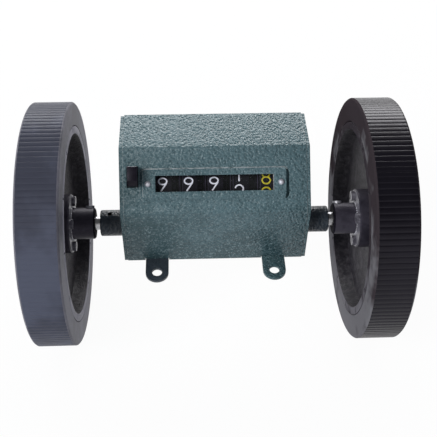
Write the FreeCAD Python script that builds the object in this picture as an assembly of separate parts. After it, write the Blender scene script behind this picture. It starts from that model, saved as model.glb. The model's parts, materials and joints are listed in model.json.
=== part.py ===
# Cable length counter: a five drum counter in a sloped housing, driven by two measuring wheels.
# Millimetres. X runs along the axle, the window looks to the front (-Y) and up, Z points up.
# The origin is the middle of the four foot holes, on the surface that the feet stand on.
import FreeCAD, Part
import math
import os

Vector = FreeCAD.Vector

# Measuring wheels
wheel_circumference = 333.333
wheel_width = 17.0
wheel_past_hub_start = 7.6
tyre_thickness = 10.35
tyre_chamfer = 0.8
rim_ring = 3.2
recess_draft = 0.75
web_thickness = 4.0
web_rim_depth = 6.5
web_hub_depth = 9.0
web_boss_radius = 15.0
rim_slot_count = 12
rim_slot_width = 0.9
rim_slot_depth = 0.8
rim_slot_land = 0.5

# Wheel hubs
hub_off_boss = 2.4
barrel_radius = 6.9
barrel_length = 10.0
flange_radius = 13.0
hub_chamfer = 0.5
spigot_radius = 6.0
flange_screw_reach = 9.95
flange_screw_count = 4
set_screw_radius = 1.9
set_screw_inset = 2.3
set_screw_stand = 0.9
set_screw_angle = 44.0

# Axle and its bearings
axle_radius = 3.0
axle_behind_front = 11.5
axle_height = 12.5
axle_end_inset = 1.0
boss_radius = 5.75
boss_length = 10.0
boss_chamfer = 0.4
bush_wall = 1.3
oil_hole_radius = 1.0
oil_hole_inset = 4.3
collar_radius = 4.5
collar_length = 3.5

# Housing
housing_width = 80.0
housing_depth = 42.0
slope_rise = 19.5
shell_wall = 2.0
shell_lift = 0.2
edge_radius = 1.2
cover_wall = 1.5
cover_inset = 0.35
lug_radius = 2.3
lug_length = 6.0
lug_bite = 0.5
lower_lug_height = 10.0
front_lug_height = 22.0
post_radius = 3.2
post_height = 8.0
post_inset = 3.6

# Feet
plate_thickness = 1.2
foot_spacing = 51.3
foot_reach = 7.8
foot_width = 10.0
foot_hole_radius = 2.2

# Window in the sloped face
window_from_end = 15.3
window_height = 6.75
window_x = -0.3
pad_from_end = 8.8
pad_above = 3.1
pad_below = 3.9
pad_height = 1.0
pad_bevel = 1.25
pad_corner = 2.6
lens_thickness = 1.0
lens_from_end = 10.1
lens_lap = 2.6
rivet_inset = 2.1
rivet_radius = 1.3
rivet_shank = 0.8
rivet_tail = 0.4

# Number drums
drum_radius = 11.0
drum_wall = 1.4
drums_from_end = 12.75
carry_space = 4.9
rim_shift = 0.4
drum_web = 1.0
drum_hub_radius = 3.2
spindle_radius = 2.0
drum_set_back = 7.5
drum_over_axle = 1.5
drum_to_lens = 0.5
drum_names = ("thousands", "hundreds", "tens", "units", "tenths")
shown_digits = (9.0, 9.0, 9.0, 1.5, 8.4)
digits_round = 10

# Carry gears between the drums
carry_module = 0.9
driven_teeth = 20
pinion_teeth = 8
driven_width = 1.7
carry_tooth_height = 0.8
carry_disc_radius = 7.4
carry_disc_width = 1.1
carry_notch_radius = 1.2
pinion_shaft_radius = 1.0
pinion_angle = -25.0

# Gear train from the axle to the tenths drum
pressure_angle = 20.0
tooth_root_depth = 1.2
train_module = 0.5
drive_teeth = 20
idler_wheel_teeth = 30
idler_pinion_teeth = 20
tenths_teeth = 40
train_tooth_height = 0.95
train_width = 1.8
train_step = 0.6
drive_hub_radius = 4.2
drive_hub_length = 3.6
stud_radius = 1.5
stud_head_radius = 2.4
stud_head = 0.5
idler_hub_radius = 3.0

# Side plates, tie rods and screws
side_wall = 1.5
side_gap = 2.0
side_foot = 6.0
side_foot_from_front = 13.0
side_foot_from_rear = 9.0
tie_rod_radius = 2.0
tie_rod_end_radius = 1.2
rear_rod_inset = 8.0
rear_rod_height = 10.0
top_rod_setback = 26.0
top_rod_drop = 7.0
front_rod_inset = 5.5
front_rod_height = 20.0
small_screw_radius = 1.2
small_head_radius = 2.2
small_head_height = 1.4
screw_slot = 0.6
socket_share = 0.55
hole_floor = 1.0
frame_screw_from_front = 16.0
frame_screw_from_rear = 12.0

# Reset key, its spring and the comb that it turns
key_width = 4.4
key_height = 8.4
key_stand = 8.0
key_travel = 4.5
key_from_end = 5.5
key_above_window = 3.1
key_bevel = 2.2
key_flange = 1.0
stem_radius = 1.5
foot_radius = 2.0
foot_thickness = 1.0
spring_radius = 2.5
spring_wire = 0.6
guide_depth = 11.0
guide_thickness = 3.0
guide_half_width = 3.5
arm_below_guide = 6.0
arm_length = 11.8
arm_width = 2.0
arm_end_radius = 1.5
arm_bar_radius = 0.8
comb_radius = 1.5
comb_boss_radius = 3.0
finger_width = 0.8
finger_tip_radius = 1.0
finger_rest_radius = 11.0
heart_width = 1.0
heart_steps = 24

# Clearances
running_fit = 0.05
fixed_fit = 0.02
slot_gap = 0.2
end_play = 0.1
tooth_gap = 0.06
carry_gap = 0.1
touch_gap = 0.1
finger_gap = 0.3
axle_room = 0.6

# Cutting tools run past the surface that they cut by this much
cut_past = 1.0

# Places that follow from the sizes
front_y = -housing_depth / 2
rear_y = housing_depth / 2
side_foot_y0 = front_y + side_foot_from_front
side_foot_y1 = rear_y - side_foot_from_rear
frame_screw_ys = (front_y + frame_screw_from_front, rear_y - frame_screw_from_rear)
axle_y = front_y + axle_behind_front
axle = (axle_y, axle_height)
drum_y = axle_y + drum_set_back
drum_z = axle_height + axle_radius + drum_over_axle + drum_radius
drum = (drum_y, drum_z)
face_depth = drum_radius + drum_to_lens + lens_thickness + shell_wall
slope = math.radians(45)
knee_z = drum_z + (front_y - drum_y) + face_depth / math.cos(slope)
housing_height = knee_z + slope_rise
window_along = ((drum_y - front_y) + (drum_z - knee_z)) * math.cos(slope)
shell_half = housing_width / 2 - cover_wall
boss_end_x = housing_width / 2 + boss_length
hub_start_x = boss_end_x + hub_off_boss
wheel_inner_x = hub_start_x + wheel_past_hub_start
web_rim_x = wheel_inner_x + web_rim_depth
web_hub_x = wheel_inner_x + web_hub_depth
tyre_radius = wheel_circumference / (2 * math.pi)
rim_radius = tyre_radius - tyre_thickness
recess_radius = rim_radius - rim_ring
window_width = housing_width - 2 * window_from_end
pad_half = housing_width / 2 - pad_from_end
lens_half = housing_width / 2 - lens_from_end
drum_pitch = (housing_width - 2 * drums_from_end) / len(drum_names)
rim_left = (drum_pitch - carry_space) / 2 - rim_shift
rim_right = (drum_pitch - carry_space) / 2 + rim_shift
drum_centres = [drum_pitch * (i - (len(drum_names) - 1) / 2) for i in range(len(drum_names))]
hub_left = (drum_pitch - end_play) / 2
hub_right = drum_pitch - end_play - hub_left
left_plate_x = drum_centres[0] - hub_left - end_play
train_x = drum_centres[-1] + rim_right + driven_width + train_step
right_plate_x = train_x + train_width + train_step
carry_distance = carry_module * (driven_teeth + pinion_teeth) / 2
idler_from_axle = train_module * (drive_teeth + idler_wheel_teeth) / 2
idler_from_drum = train_module * (idler_pinion_teeth + tenths_teeth) / 2


# Helpers for solids whose section lies across the axle

def polar(centre, radius, angle):
    return (centre[0] + radius * math.cos(angle), centre[1] + radius * math.sin(angle))


def bearing(start, end):
    return math.atan2(end[1] - start[1], end[0] - start[0])


def point(x, place):
    return Vector(x, place[0], place[1])


def prism(corners, x0, x1):
    points = [point(x0, corner) for corner in corners]
    wire = Part.makePolygon(points + points[:1])
    return Part.Face(wire).extrude(Vector(x1 - x0, 0, 0))


def rounded_prism(corners, radius, x0, x1):
    """A prism whose corners are round; the bottom two corners stay sharp."""
    edges = []
    starts = []
    ends = []
    for i, corner in enumerate(corners):
        here = point(x0, corner)
        if i < 2:
            starts.append(here)
            ends.append(here)
            continue
        back = (point(x0, corners[i - 1]) - here).normalize()
        ahead = (point(x0, corners[(i + 1) % len(corners)]) - here).normalize()
        half = back.getAngle(ahead) / 2
        inwards = (back + ahead).normalize()
        starts.append(here + back * (radius / math.tan(half)))
        ends.append(here + ahead * (radius / math.tan(half)))
        middle = here + inwards * (radius / math.sin(half) - radius)
        edges.append(Part.Arc(starts[-1], middle, ends[-1]).toShape())
    for i in range(len(corners)):
        edges.append(Part.makeLine(ends[i], starts[(i + 1) % len(corners)]))
    wire = Part.Wire(Part.__sortEdges__(edges))
    return Part.Face(wire).extrude(Vector(x1 - x0, 0, 0))


def disc(radius, x0, x1, centre):
    return Part.makeCylinder(radius, x1 - x0, point(x0, centre), Vector(1, 0, 0))


def ring(outer, inner, x0, x1, centre):
    return disc(outer, x0, x1, centre).cut(disc(inner, x0, x1, centre))


def link(x0, x1, start, start_radius, end, end_radius):
    """A flat lever with round ends."""
    across = bearing(start, end) + math.pi / 2
    corners = [
        polar(start, start_radius, across),
        polar(end, end_radius, across),
        polar(end, -end_radius, across),
        polar(start, -start_radius, across),
    ]
    bar = prism(corners, x0, x1)
    return bar.fuse([disc(start_radius, x0, x1, start), disc(end_radius, x0, x1, end)])


def turned(profile, centre):
    """A solid of revolution about the X line through centre, from (x, radius) corners."""
    points = [Vector(x, centre[0], centre[1] + radius) for x, radius in profile]
    face = Part.Face(Part.makePolygon(points + points[:1]))
    return face.revolve(point(0, centre), Vector(1, 0, 0), 360)


def involute(angle):
    return math.tan(angle) - angle


def tooth_half_angle(teeth, module, radius, thinning):
    """Half the angle that a tooth covers at a radius, thinned for running clearance."""
    pressure = math.radians(pressure_angle)
    pitch_radius = teeth * module / 2
    base_radius = pitch_radius * math.cos(pressure)
    at_radius = math.acos(min(1.0, base_radius / max(radius, base_radius)))
    at_pitch = math.pi / (2 * teeth) - thinning / pitch_radius
    return at_pitch + involute(pressure) - involute(at_radius)


def gear(teeth, module, height, thinning, x0, x1, centre, phase):
    """A spur gear blank with a tooth centred on the angle phase."""
    pitch_radius = teeth * module / 2
    root = pitch_radius - tooth_root_depth * module
    tip = pitch_radius + height * module
    radii = (root, (root + pitch_radius) / 2, pitch_radius, (pitch_radius + tip) / 2, tip)
    corners = []
    for tooth in range(teeth):
        middle = phase + 2 * math.pi * tooth / teeth
        for radius in radii:
            half = tooth_half_angle(teeth, module, radius, thinning)
            corners.append(polar(centre, radius, middle - half))
        for radius in reversed(radii):
            half = tooth_half_angle(teeth, module, radius, thinning)
            corners.append(polar(centre, radius, middle + half))
    return prism(corners, x0, x1)


def both_sides(shape):
    """A right-hand shape and its mirror image on the left."""
    return shape, shape.mirror(Vector(0, 0, 0), Vector(1, 0, 0))


# Helpers for things on the sloped face: x, distance up the slope, height above the face

face_place = FreeCAD.Placement(
    Vector(0, front_y, knee_z), FreeCAD.Rotation(Vector(1, 0, 0), math.degrees(slope))
)


def on_face(shape):
    shape = shape.copy()
    shape.Placement = face_place.multiply(shape.Placement)
    return shape


def face_point(x, along, depth):
    return face_place.multVec(Vector(x, along, -depth))


def face_box(x0, x1, along0, along1, height0, height1):
    size = (x1 - x0, along1 - along0, height1 - height0)
    return on_face(Part.makeBox(*size, Vector(x0, along0, height0)))


def face_rod(radius, x, along, height0, height1):
    return on_face(Part.makeCylinder(radius, height1 - height0, Vector(x, along, height0)))


# Helpers for screws

def screw(place, outwards, length, radius=small_screw_radius, head=small_head_radius):
    """A slotted cheese head screw whose head stands on place."""
    body = Part.makeCylinder(radius, length, Vector(0, 0, -length))
    body = body.fuse(Part.makeCylinder(head, small_head_height))
    slot = Part.makeBox(2 * head, screw_slot, screw_slot)
    slot.translate(Vector(-head, -screw_slot / 2, small_head_height - screw_slot))
    body = body.cut(slot)
    body.Placement = FreeCAD.Placement(place, FreeCAD.Rotation(Vector(0, 0, 1), outwards))
    return body


def flat_screw(place, outwards, length):
    """A slotted countersunk screw whose head is flush with place."""
    slope_height = small_head_radius - small_screw_radius
    body = Part.makeCylinder(small_screw_radius, length, Vector(0, 0, -length))
    body = body.fuse(
        Part.makeCone(small_screw_radius, small_head_radius, slope_height, Vector(0, 0, -slope_height))
    )
    slot = Part.makeBox(2 * small_head_radius, screw_slot, screw_slot)
    slot.translate(Vector(-small_head_radius, -screw_slot / 2, -screw_slot))
    body = body.cut(slot)
    body.Placement = FreeCAD.Placement(place, FreeCAD.Rotation(Vector(0, 0, 1), outwards))
    return body


def flat_screw_hole(place, outwards, length):
    """The countersunk hole that a flat screw fits."""
    sink = small_head_radius + fixed_fit
    hole = Part.makeCylinder(small_screw_radius + fixed_fit, length, Vector(0, 0, -length))
    hole = hole.fuse(
        Part.makeCone(
            small_screw_radius, sink, sink - small_screw_radius,
            Vector(0, 0, small_screw_radius - sink),
        )
    )
    hole.Placement = FreeCAD.Placement(place, FreeCAD.Rotation(Vector(0, 0, 1), outwards))
    return hole


def grub(place, outwards, length, radius):
    """A set screw with a hexagon socket in its outer end, which is at place."""
    body = Part.makeCylinder(radius, length, Vector(0, 0, -length))
    across = radius * socket_share
    sides = [(across * math.cos(a * math.pi / 3), across * math.sin(a * math.pi / 3)) for a in range(7)]
    socket = Part.Face(Part.makePolygon([Vector(x, y, -radius) for x, y in sides]))
    body = body.cut(socket.extrude(Vector(0, 0, 2 * radius)))
    body.Placement = FreeCAD.Placement(place, FreeCAD.Rotation(Vector(0, 0, 1), outwards))
    return body


# Places that several pieces share

def housing_corners(inset, bottom):
    """End view of the housing with each side moved in by inset: bottom, back, top, slope, front."""
    knee_shift = inset * math.tan(slope / 2)
    return [
        (front_y + inset, bottom),
        (rear_y - inset, bottom),
        (rear_y - inset, housing_height - inset),
        (front_y + slope_rise + knee_shift, housing_height - inset),
        (front_y + inset, knee_z - knee_shift),
    ]


def wall_place(distance):
    """Distance from the middle plane to a lug or post that bites into the front or rear wall."""
    return rear_y - shell_wall - distance + lug_bite


lug_places = [
    (wall_place(lug_radius), housing_height - shell_wall - lug_radius + lug_bite),
    (wall_place(lug_radius), lower_lug_height),
    (-wall_place(lug_radius), front_lug_height),
]
post_places = [
    (side * (shell_half - post_inset), end * wall_place(post_radius))
    for side in (-1, 1)
    for end in (-1, 1)
]
foot_places = [
    (side * foot_spacing / 2, end * (rear_y + foot_reach))
    for side in (-1, 1)
    for end in (-1, 1)
]
rivet_xs = [window_x + side * (lens_half - rivet_inset) for side in (-1, 1)]
tie_rods_at = (
    (rear_y - rear_rod_inset, rear_rod_height),
    (front_y + top_rod_setback, housing_height - top_rod_drop),
    (front_y + front_rod_inset, front_rod_height),
)
flange_face_x = hub_start_x + barrel_length
web_back_x = web_hub_x + web_thickness
axle_half = web_back_x - axle_end_inset

# The idler's stud lies where it meets both the drive gear and the tenths gear
axle_to_drum = math.dist(axle, drum)
idler_cosine = (idler_from_axle**2 + axle_to_drum**2 - idler_from_drum**2) / (
    2 * idler_from_axle * axle_to_drum
)
idler = polar(axle, idler_from_axle, bearing(axle, drum) - math.acos(idler_cosine))
pinion_shaft_at = polar(drum, carry_distance, math.radians(pinion_angle))

# The key slides straight into the slope and turns the comb by an arm
key_x = -housing_width / 2 + key_from_end
key_along = window_along + key_above_window
arm_depth = guide_depth + guide_thickness + arm_below_guide
comb_turn = key_travel / arm_length
key_inner = face_point(0, key_along, arm_depth)
comb = (key_inner.y + arm_length * math.sin(slope), key_inner.z + arm_length * math.cos(slope))
arm_rest = polar(comb, arm_length, math.pi + slope - comb_turn / 2)
foot_end_depth = arm_depth - arm_length * math.sin(comb_turn / 2) - arm_end_radius - touch_gap
comb_to_drum = math.dist(comb, drum)
finger_length = math.sqrt(comb_to_drum**2 - finger_rest_radius**2)
finger_bend = math.acos(finger_length / comb_to_drum)
finger_rest = polar(comb, finger_length, bearing(comb, drum) - finger_bend)
finger_in = polar(comb, finger_length, bearing(comb, drum) - finger_bend + comb_turn)
heart_max = math.dist(finger_in, drum) - finger_tip_radius - finger_gap
heart_min = drum_hub_radius + fixed_fit
finger_shift = rim_left + finger_gap + heart_width / 2


# Housing

def make_shell():
    half = shell_half
    shell = rounded_prism(housing_corners(0, shell_lift), edge_radius, -half, half)
    fixings = [disc(lug_radius, half - lug_length, half, place) for place in lug_places]
    fixings += [fixing.mirror(Vector(0, 0, 0), Vector(1, 0, 0)) for fixing in fixings]
    for x, y in post_places:
        post = Part.makeCylinder(post_radius, post_height - plate_thickness, Vector(x, y, plate_thickness))
        fixings.append(post)
    cavity = rounded_prism(housing_corners(shell_wall, -cut_past), edge_radius / 2, -half, half)
    shell = shell.cut(cavity).fuse(fixings + [make_pad()])
    outer = rounded_prism(housing_corners(0, shell_lift), edge_radius, -half, half)
    keep = outer.fuse(make_pad())
    shell = shell.common(keep)
    holes = [
        face_box(
            window_x - window_width / 2, window_x + window_width / 2,
            window_along - window_height / 2, window_along + window_height / 2,
            -shell_wall * 2, pad_height * 2,
        ),
        face_box(
            key_x - key_width / 2 - slot_gap, key_x + key_width / 2 + slot_gap,
            key_along - key_height / 2 - slot_gap, key_along + key_height / 2 + slot_gap,
            -shell_wall * 2, pad_height * 2,
        ),
    ]
    for x in rivet_xs:
        holes.append(face_rod(rivet_shank + fixed_fit, x, window_along, -shell_wall * 2, pad_height * 2))
    for place in lug_places:
        holes += both_sides(disc(small_screw_radius + fixed_fit, half - lug_length + hole_floor, half, place))
    for x, y in post_places:
        depth = post_height - plate_thickness - hole_floor
        hole = Part.makeCylinder(small_screw_radius + fixed_fit, depth, Vector(x, y, plate_thickness))
        holes.append(hole)
    for x, y in foot_places:
        width = foot_width + 2 * slot_gap
        height = plate_thickness + slot_gap
        wall_y = math.copysign(rear_y - shell_wall / 2, y)
        notch = Part.makeBox(width, shell_wall * 2, height, Vector(x - width / 2, wall_y - shell_wall, 0))
        holes.append(notch)
    return shell.cut(holes)


def rounded_rectangle(x0, x1, y0, y1, radius, z):
    """A closed wire with four round corners, at height z."""
    edges = []
    turns = ((x1, y1, 1, 1), (x0, y1, -1, 1), (x0, y0, -1, -1), (x1, y0, 1, -1))
    reach = radius * (1 - math.sqrt(0.5))
    last = None
    for x, y, sx, sy in turns:
        level = Vector(x - sx * radius, y, z)
        upright = Vector(x, y - sy * radius, z)
        middle = Vector(x - sx * reach, y - sy * reach, z)
        start, end = (upright, level) if sx == sy else (level, upright)
        if last is None:
            first = start
        else:
            edges.append(Part.makeLine(last, start))
        edges.append(Part.Arc(start, middle, end).toShape())
        last = end
    edges.append(Part.makeLine(last, first))
    return Part.Wire(edges)


def make_pad():
    """The raised pad round the window, with sloping edges and round corners."""
    x0 = window_x - pad_half
    x1 = window_x + pad_half
    y0 = window_along - window_height / 2 - pad_below
    y1 = window_along + window_height / 2 + pad_above
    bite = shell_wall / 2
    outer = rounded_rectangle(x0, x1, y0, y1, pad_corner, 0)
    inner = rounded_rectangle(
        x0 + pad_bevel, x1 - pad_bevel, y0 + pad_bevel, y1 - pad_bevel, pad_corner - pad_bevel, pad_height
    )
    root = Part.Face(outer).extrude(Vector(0, 0, -bite))
    return on_face(Part.makeLoft([outer, inner], True, True).fuse(root))


def make_cover():
    """The right end cover with its bearing boss."""
    x0 = shell_half
    cover = rounded_prism(housing_corners(cover_inset, shell_lift), edge_radius, x0, x0 + cover_wall)
    boss = turned(
        [
            (x0, 0), (x0, boss_radius), (boss_end_x - boss_chamfer, boss_radius),
            (boss_end_x, boss_radius - boss_chamfer), (boss_end_x, 0),
        ],
        axle,
    )
    cover = cover.fuse(boss)
    bore = axle_radius + running_fit + bush_wall + fixed_fit
    holes = [disc(bore, x0 - cut_past, boss_end_x + cut_past, axle)]
    outer_x = x0 + cover_wall
    for place in lug_places:
        holes.append(flat_screw_hole(point(outer_x, place), Vector(1, 0, 0), 2 * cover_wall))
    return cover.cut(holes)


def oil_hole(outer_radius):
    x = -boss_end_x + oil_hole_inset
    return Part.makeCylinder(oil_hole_radius, outer_radius + cut_past, point(x, axle))


def make_cover_screws():
    x = shell_half + cover_wall
    right = [flat_screw(point(x, place), Vector(1, 0, 0), lug_length) for place in lug_places]
    return [part for shape in right for part in both_sides(shape)]


def make_base():
    half = shell_half - slot_gap
    depth = housing_depth - 2 * shell_wall - 2 * slot_gap
    base = Part.makeBox(2 * half, depth, plate_thickness, Vector(-half, -depth / 2, 0))
    ears = []
    for x, y in foot_places:
        ears.append(Part.makeCylinder(foot_width / 2, plate_thickness, Vector(x, y, 0)))
        start = min(y, 0)
        ears.append(Part.makeBox(foot_width, abs(y), plate_thickness, Vector(x - foot_width / 2, start, 0)))
    base = base.fuse(ears)
    past = plate_thickness + 2 * cut_past
    holes = [Part.makeCylinder(foot_hole_radius, past, Vector(x, y, -cut_past)) for x, y in foot_places]
    for x, y in post_places:
        holes.append(flat_screw_hole(Vector(x, y, 0), Vector(0, 0, -1), 2 * plate_thickness))
    for side in (-1, 1):
        for y in frame_screw_ys:
            x = frame_screw_x(side)
            holes.append(Part.makeCylinder(small_screw_radius + fixed_fit, past, Vector(x, y, -cut_past)))
    return base.cut(holes).removeSplitter()


def make_base_screws():
    length = post_height - hole_floor - 2 * screw_slot
    return [flat_screw(Vector(x, y, 0), Vector(0, 0, -1), length) for x, y in post_places]


def make_lens():
    return face_box(
        window_x - lens_half, window_x + lens_half,
        window_along - window_height / 2 - lens_lap, window_along + window_height / 2 + lens_lap,
        -shell_wall - lens_thickness, -shell_wall,
    ).cut([
        face_rod(rivet_shank + fixed_fit, x, window_along, -shell_wall - lens_thickness, -shell_wall)
        for x in rivet_xs
    ])


def make_rivets():
    """Dome headed rivets that hold the lens behind the window."""
    rivets = []
    low = -shell_wall - lens_thickness
    for x in rivet_xs:
        ball = Part.makeSphere(rivet_radius, Vector(x, window_along, pad_height))
        above = Part.makeBox(
            4 * rivet_radius, 4 * rivet_radius, 2 * rivet_radius,
            Vector(x - 2 * rivet_radius, window_along - 2 * rivet_radius, pad_height),
        )
        shank = Part.makeCylinder(rivet_shank, pad_height - low, Vector(x, window_along, low))
        tail_start = Vector(x, window_along, low - rivet_tail)
        tail = Part.makeCylinder(rivet_radius, rivet_tail, tail_start)
        rivets.append(on_face(ball.common(above).fuse([shank, tail])))
    return rivets


def make_bush(side):
    outer = axle_radius + running_fit + bush_wall
    x0, x1 = sorted((side * shell_half, side * boss_end_x))
    return ring(outer, axle_radius + running_fit, x0, x1, axle)


# Mechanism frame

def frame_screw_x(side):
    plate_x = right_plate_x if side > 0 else left_plate_x
    return plate_x + side * (side_wall + side_foot / 2)


def plate_span(side):
    plate_x = right_plate_x if side > 0 else left_plate_x
    return sorted((plate_x, plate_x + side * side_wall))


def make_side_plate(side):
    x0, x1 = plate_span(side)
    inset = shell_wall + side_gap
    plate = rounded_prism(housing_corners(inset, plate_thickness), edge_radius, x0, x1)
    foot_x = x0 - side_foot if side < 0 else x0
    foot = Part.makeBox(
        side_foot + side_wall, side_foot_y1 - side_foot_y0, side_wall,
        Vector(foot_x, side_foot_y0, plate_thickness),
    )
    plate = plate.fuse(foot)
    holes = [
        disc(axle_radius + axle_room, x0 - cut_past, x1 + cut_past, axle),
        disc(spindle_radius + fixed_fit, x0 - cut_past, x1 + cut_past, drum),
        disc(pinion_shaft_radius + fixed_fit, x0 - cut_past, x1 + cut_past, pinion_shaft_at),
        disc(comb_radius + running_fit, x0 - cut_past, x1 + cut_past, comb),
    ]
    if side > 0:
        holes.append(disc(stud_radius + fixed_fit, x0 - cut_past, x1 + cut_past, idler))
    for place in tie_rods_at:
        holes.append(disc(tie_rod_end_radius + fixed_fit, x0 - cut_past, x1 + cut_past, place))
    for y in frame_screw_ys:
        place = Vector(frame_screw_x(side), y, 0)
        depth = plate_thickness + 2 * side_wall
        holes.append(Part.makeCylinder(small_screw_radius + fixed_fit, depth, place))
    return plate.cut(holes)


def make_frame_screws():
    top = plate_thickness + side_wall
    return [
        screw(Vector(frame_screw_x(side), y, top), Vector(0, 0, 1), top - slot_gap)
        for side in (-1, 1)
        for y in frame_screw_ys
    ]


def make_tie_rods():
    rods = []
    left, right = plate_span(-1)[0], plate_span(1)[1]
    for place in tie_rods_at:
        rod = disc(tie_rod_radius, left_plate_x, right_plate_x, place)
        rods.append(rod.fuse(disc(tie_rod_end_radius, left, right, place)))
    return rods


def make_shaft(radius, place):
    return disc(radius, plate_span(-1)[0], plate_span(1)[1], place)


def make_spindle_spacer():
    inner = spindle_radius + fixed_fit
    x0 = drum_centres[-1] + hub_right + end_play
    return ring(drum_hub_radius, inner, x0, right_plate_x, drum)


def make_idler_stud():
    x0 = drum_centres[-1] + rim_right - stud_head
    stud = disc(stud_radius, x0, plate_span(1)[1], idler)
    return stud.fuse(disc(stud_head_radius, x0, x0 + stud_head, idler))


def make_key_guide():
    """A block on the left side plate with a hole that the key's stem slides in."""
    x1 = plate_span(-1)[0]
    block = face_box(
        key_x - guide_half_width, x1, key_along - guide_half_width, key_along + guide_half_width,
        -guide_depth - guide_thickness, -guide_depth,
    )
    return block.cut(face_rod(stem_radius + running_fit, key_x, key_along, -arm_depth, 0))


# Wheels, hubs and axle

def make_wheel_disc():
    """The right wheel: a cast disc with a dished web and a ring that carries the tyre."""
    outer_x = wheel_inner_x + wheel_width
    web_rim_radius = recess_radius - recess_draft
    wheel = turned(
        [
            (web_hub_x, spigot_radius + fixed_fit), (web_hub_x, web_boss_radius), (web_rim_x, web_rim_radius),
            (wheel_inner_x, recess_radius), (wheel_inner_x, rim_radius),
            (outer_x, rim_radius), (outer_x, recess_radius), (web_rim_x + web_thickness, web_rim_radius),
            (web_back_x, web_boss_radius), (web_back_x, spigot_radius + fixed_fit),
        ],
        axle,
    )
    cuts = []
    for i in range(flange_screw_count):
        place = polar(axle, flange_screw_reach, flange_screw_turn(i))
        cuts.append(disc(small_screw_radius + fixed_fit, web_hub_x - cut_past, web_back_x + cut_past, place))
    slot_length = rim_ring - 2 * rim_slot_land
    for x in (wheel_inner_x, outer_x - rim_slot_depth):
        for i in range(rim_slot_count):
            slot = Part.makeBox(
                rim_slot_depth, rim_slot_width, slot_length,
                Vector(x, -rim_slot_width / 2, recess_radius + rim_slot_land),
            )
            slot.rotate(Vector(0, 0, 0), Vector(1, 0, 0), 360 * i / rim_slot_count)
            slot.translate(Vector(0, *axle))
            cuts.append(slot)
    return wheel.cut(cuts)


def make_tyre():
    inner = rim_radius + fixed_fit
    x0 = wheel_inner_x
    x1 = wheel_inner_x + wheel_width
    c = tyre_chamfer
    return turned(
        [
            (x0, inner), (x0, tyre_radius - c), (x0 + c, tyre_radius),
            (x1 - c, tyre_radius), (x1, tyre_radius - c), (x1, inner),
        ],
        axle,
    )


def flange_screw_turn(i):
    return math.pi / 4 + 2 * math.pi * i / flange_screw_count


def make_hub():
    c = hub_chamfer
    bore = axle_radius + fixed_fit
    hub = turned(
        [
            (hub_start_x, bore), (hub_start_x, barrel_radius - c), (hub_start_x + c, barrel_radius),
            (flange_face_x, barrel_radius), (flange_face_x, flange_radius - c),
            (flange_face_x + c, flange_radius), (web_hub_x, flange_radius),
            (web_hub_x, spigot_radius), (web_back_x, spigot_radius), (web_back_x, bore),
        ],
        axle,
    )
    holes = [set_screw_hole()]
    for i in range(flange_screw_count):
        place = polar(axle, flange_screw_reach, flange_screw_turn(i))
        holes.append(disc(small_screw_radius + fixed_fit, flange_face_x - cut_past, web_back_x, place))
    return hub.cut(holes)


def set_screw_line():
    start = point(hub_start_x + set_screw_inset, axle)
    angle = math.radians(set_screw_angle)
    return start, Vector(0, math.cos(angle), math.sin(angle))


def set_screw_hole():
    start, outwards = set_screw_line()
    return Part.makeCylinder(set_screw_radius + fixed_fit, barrel_radius + cut_past, start, outwards)


def make_set_screws():
    start, outwards = set_screw_line()
    top = barrel_radius + set_screw_stand
    length = top - axle_radius - fixed_fit
    return both_sides(grub(start + outwards * top, outwards, length, set_screw_radius))


def make_flange_screws():
    length = web_back_x - flange_face_x - hole_floor
    screws = []
    for i in range(flange_screw_count):
        place = polar(axle, flange_screw_reach, flange_screw_turn(i))
        screws += both_sides(screw(point(flange_face_x, place), Vector(-1, 0, 0), length))
    return screws


def collar_screw_radius():
    return collar_length / 4


def make_collar():
    x1 = shell_half - touch_gap
    collar = ring(collar_radius, axle_radius + fixed_fit, x1 - collar_length, x1, axle)
    start = point(x1 - collar_length / 2, axle)
    return collar.cut(Part.makeCylinder(collar_screw_radius() + fixed_fit, collar_radius + cut_past, start))


def top_grub(x, outer_radius):
    """A set screw from the top of a ring on the axle down to the axle."""
    place = Vector(x, axle[0], axle[1] + outer_radius)
    length = outer_radius - axle_radius - fixed_fit
    return grub(place, Vector(0, 0, 1), length, collar_screw_radius())


def make_collar_screws():
    collar_screws = both_sides(top_grub(shell_half - touch_gap - collar_length / 2, collar_radius))
    return list(collar_screws) + [top_grub(train_x - drive_hub_length / 2, drive_hub_radius)]


# Gear train

def make_drive_gear():
    blank = gear(
        drive_teeth, train_module, train_tooth_height, tooth_gap, train_x, train_x + train_width, axle,
        bearing(axle, idler),
    )
    blank = blank.fuse(disc(drive_hub_radius, train_x - drive_hub_length, train_x, axle))
    screw_start = point(train_x - drive_hub_length / 2, axle)
    return blank.cut([
        disc(axle_radius + fixed_fit, train_x - drive_hub_length, train_x + train_width, axle),
        Part.makeCylinder(collar_screw_radius() + fixed_fit, drive_hub_radius + cut_past, screw_start),
    ])


def make_idler_gear():
    """The compound idler: its wheel meets the drive gear, its pinion the tenths gear."""
    pinion_x = drum_centres[-1] + rim_right + slot_gap
    wheel = gear(
        idler_wheel_teeth, train_module, train_tooth_height, tooth_gap, train_x, train_x + train_width,
        idler, bearing(idler, axle) + math.pi / idler_wheel_teeth,
    )
    pinion = gear(
        idler_pinion_teeth, train_module, train_tooth_height, tooth_gap, pinion_x, train_x,
        idler, bearing(idler, drum),
    )
    hub = disc(idler_hub_radius, train_x, right_plate_x - end_play, idler)
    blank = wheel.fuse([pinion, hub])
    return blank.cut(disc(stud_radius + running_fit, pinion_x, right_plate_x, idler))


def make_tenths_gear():
    x0 = drum_centres[-1] + rim_right
    phase = bearing(drum, idler) + math.pi / tenths_teeth
    x1 = x0 + driven_width
    blank = gear(tenths_teeth, train_module, train_tooth_height, tooth_gap, x0, x1, drum, phase)
    return blank.cut(disc(drum_hub_radius + fixed_fit, x0, x1, drum))


# Number drums and carry pinions

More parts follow.
